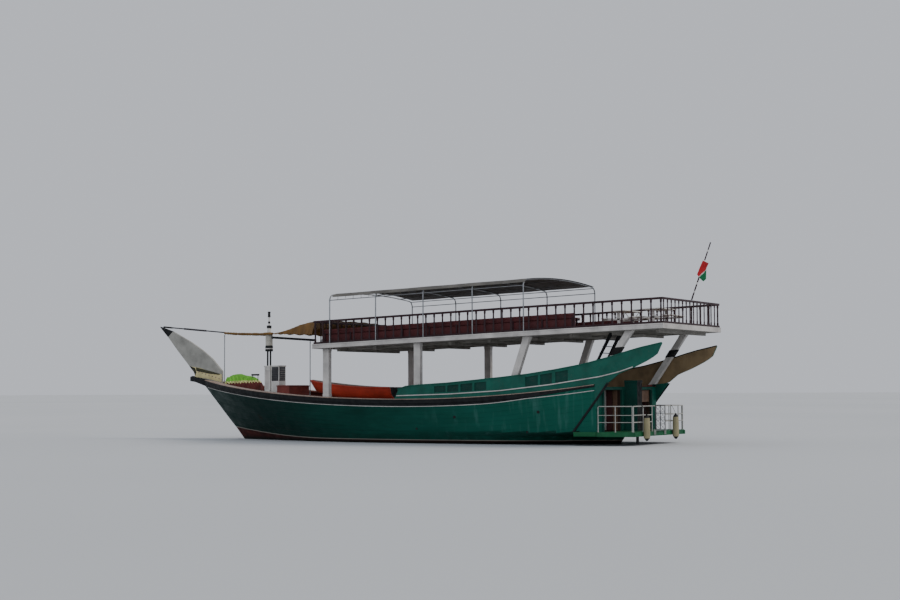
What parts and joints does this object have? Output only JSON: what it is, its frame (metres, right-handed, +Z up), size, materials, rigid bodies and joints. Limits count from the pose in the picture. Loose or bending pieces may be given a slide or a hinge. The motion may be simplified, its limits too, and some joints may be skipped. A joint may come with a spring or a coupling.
{
  "type": "wooden motor dhow with an open passenger deck",
  "caption": "Wooden motor dhow with a raked stem, winged stern, open upper deck on pillars, canopy, awning and stern platform.",
  "frame": {"origin": "on the centreline at the waterline, below the middle of the boat", "axes": "+X to the bow, +Y to port, +Z up"},
  "size_m": [28.0559, 6.8, 9.6795],
  "materials": {
    "hull_paint": "gloss green paint on planks, worn and chalked",
    "bottom_paint": "dull red-brown bottom paint",
    "bulwark_paint": "green paint on planks",
    "platform_paint": "bright green paint",
    "black_paint": "black paint",
    "grey_paint": "pale grey paint",
    "white_paint": "off-white paint",
    "rail_paint": "dark maroon varnish",
    "deck_brown": "brown paint",
    "hatch_red": "red-brown paint",
    "skiff_orange": "faded orange-red paint",
    "awning_cloth": "tan canvas",
    "canopy_cloth": "dark woven sheet with a pale hem",
    "steel_tube": "galvanised tube",
    "white_tube": "white painted tube",
    "bronze": "dull bronze",
    "fender_cream": "cream rubber, black ends",
    "gear_cover": "lime green sheet with a ruffled edge",
    "flag_cloth": "red, white and green cloth"
  },
  "bodies": {
    "boat": {"awning": "awning_cloth", "awning_pole": "steel_tube", "awning_stay": "awning_cloth", "bench_port": "rail_paint", "bench_starboard": "rail_paint", "boom": "black_paint", "boom_pole": "steel_tube", "bulwark_port": "bulwark_paint", "bulwark_starboard": "bulwark_paint", "canopy_frame": "steel_tube", "canopy_roof": "canopy_cloth", "companion_ladder": "black_paint", "covered_anchor_gear": "gear_cover", "deck_cabinet": "white_paint", "door_frame_port": "bulwark_paint", "door_frame_starboard": "bulwark_paint", "fender_a": "fender_cream", "fender_b": "fender_cream", "flag": "flag_cloth", "flagstaff": "white_paint", "fore_hatch": "hatch_red", "gunwale_port": "black_paint", "gunwale_starboard": "black_paint", "hull": "hull_paint", "keel": "bottom_paint", "mast": "white_paint", "mast_base": "white_paint", "picnic_table_a": "white_paint", "picnic_table_b": "white_paint", "pillar_a_port": "grey_paint", "pillar_a_starboard": "grey_paint", "pillar_b_port": "grey_paint", "pillar_b_starboard": "grey_paint", "pillar_c_port": "grey_paint", "pillar_c_starboard": "grey_paint", "pillar_d_port": "grey_paint", "pillar_d_starboard": "grey_paint", "platform_rail_aft": "white_tube", "platform_rail_side_port": "white_tube", "platform_rail_side_starboard": "white_tube", "quarter_moulding_port": "black_paint", "quarter_moulding_starboard": "black_paint", "rail_aft": "rail_paint", "rail_front": "rail_paint", "rail_port": "rail_paint", "rail_starboard": "rail_paint", "rudder_trunk": "bulwark_paint", "stem_blade": "white_paint", "stem_head": "black_paint", "stem_tip": "black_paint", "stern_platform": "platform_paint", "tender": "skiff_orange", "tender_chock_aft": "deck_brown", "tender_chock_fore": "deck_brown", "upper_deck": "grey_paint"},
    "rudder": {"rudder": "bottom_paint"},
    "propeller": {"propeller": "bronze"},
    "boarding_ladder": {"boarding_ladder": "steel_tube"}
  },
  "joints": [
    {"name": "rudder_hinge", "type": "hinge", "parent": "boat", "child": "rudder", "pos_m": [-6.65, 0, -0.7], "axis": [0, 0, 1], "range_deg": [-35, 35]},
    {"name": "propeller_spin", "type": "hinge", "parent": "boat", "child": "propeller", "pos_m": [-5.75, 0, -0.88], "axis": [1, 0, 0], "continuous": true},
    {"name": "boarding_ladder_hinge", "type": "hinge", "parent": "boat", "child": "boarding_ladder", "pos_m": [-7.7, 0.125, 0.58], "axis": [0, -1, 0], "range_deg": [0, 178]}
  ]
}
